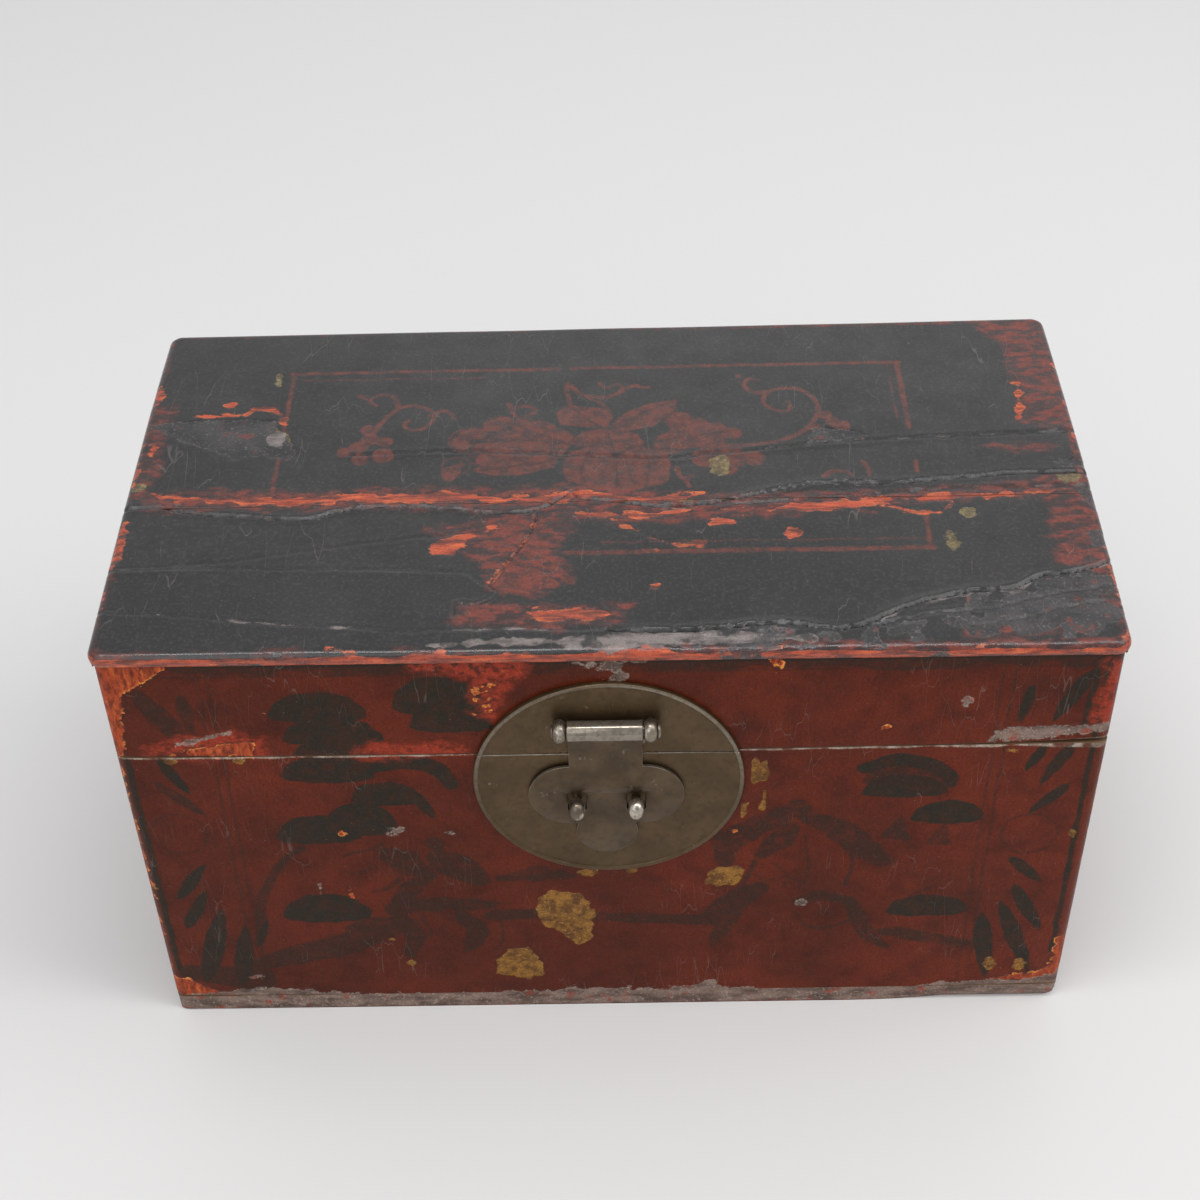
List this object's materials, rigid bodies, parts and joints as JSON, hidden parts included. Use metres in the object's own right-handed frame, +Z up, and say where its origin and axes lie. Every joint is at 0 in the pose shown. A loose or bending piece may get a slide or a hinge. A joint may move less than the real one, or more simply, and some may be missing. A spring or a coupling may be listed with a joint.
{
  "type": "small lacquered trunk",
  "caption": "Small lacquered wooden trunk with a crowned, hinged lid, a round brass lock plate with a swinging cloud-shaped hasp and staples, and drop handles at both ends.",
  "frame": {"origin": "on the floor, under the middle of the case", "axes": "+X along the front to the viewer's right, +Y from the front to the back, +Z up"},
  "size_m": [0.3962, 0.222, 0.2121],
  "materials": {
    "red_lacquer": "aged dark red lacquer with worn edges",
    "black_lacquer": "aged black lacquer, crazed and chipped",
    "bare_wood": "bare, darkened with age",
    "bamboo": "bare",
    "dark_brass": "dark olive-brown patina",
    "worn_brass": "rubbed bright on the high spots"
  },
  "bodies": {
    "case": {"front_board": "red_lacquer", "back_board": "red_lacquer", "left_board": "red_lacquer", "right_board": "red_lacquer", "bottom_board": "bare_wood", "bottom_pegs": "bamboo", "lock_plate_lower": "dark_brass", "staple_left": "worn_brass", "staple_right": "worn_brass", "hinge_leaf_lower_left": "dark_brass", "hinge_leaf_lower_right": "dark_brass", "hinge_pin_left": "worn_brass", "hinge_pin_right": "worn_brass", "hinge_nails_case": "worn_brass", "handle_eyes_left": "worn_brass", "handle_eyes_right": "worn_brass", "handle_roses_left": "dark_brass", "handle_roses_right": "dark_brass"},
    "lid": {"lid_front_rail": "red_lacquer", "lid_back_rail": "red_lacquer", "lid_left_rail": "red_lacquer", "lid_right_rail": "red_lacquer", "top_plank_front": "black_lacquer", "top_plank_back": "black_lacquer", "top_pegs": "bamboo", "lock_plate_upper": "dark_brass", "hasp_pin": "worn_brass", "hasp_eye_left": "worn_brass", "hasp_eye_right": "worn_brass", "hinge_leaf_upper_left": "dark_brass", "hinge_leaf_upper_right": "dark_brass", "hinge_nails_lid": "worn_brass"},
    "hasp": {"hasp": "dark_brass"},
    "left_handle": {"bail_left": "worn_brass"},
    "right_handle": {"bail_right": "worn_brass"}
  },
  "joints": [
    {"name": "lid_hinge", "type": "hinge", "parent": "case", "child": "lid", "pos_m": [0, 0.10535, 0.1567], "axis": [-1, 0, 0], "range_deg": [0, 180]},
    {"name": "hasp_hinge", "type": "hinge", "parent": "lid", "child": "hasp", "pos_m": [-0.002, -0.1079, 0.1735], "axis": [-1, 0, 0], "range_deg": [0, 188]},
    {"name": "left_bail_hinge", "type": "hinge", "parent": "case", "child": "left_handle", "pos_m": [-0.19418, 0, 0.112], "axis": [0, 1, 0], "range_deg": [0, 180]},
    {"name": "right_bail_hinge", "type": "hinge", "parent": "case", "child": "right_handle", "pos_m": [0.19418, 0, 0.112], "axis": [0, -1, 0], "range_deg": [0, 180]}
  ]
}
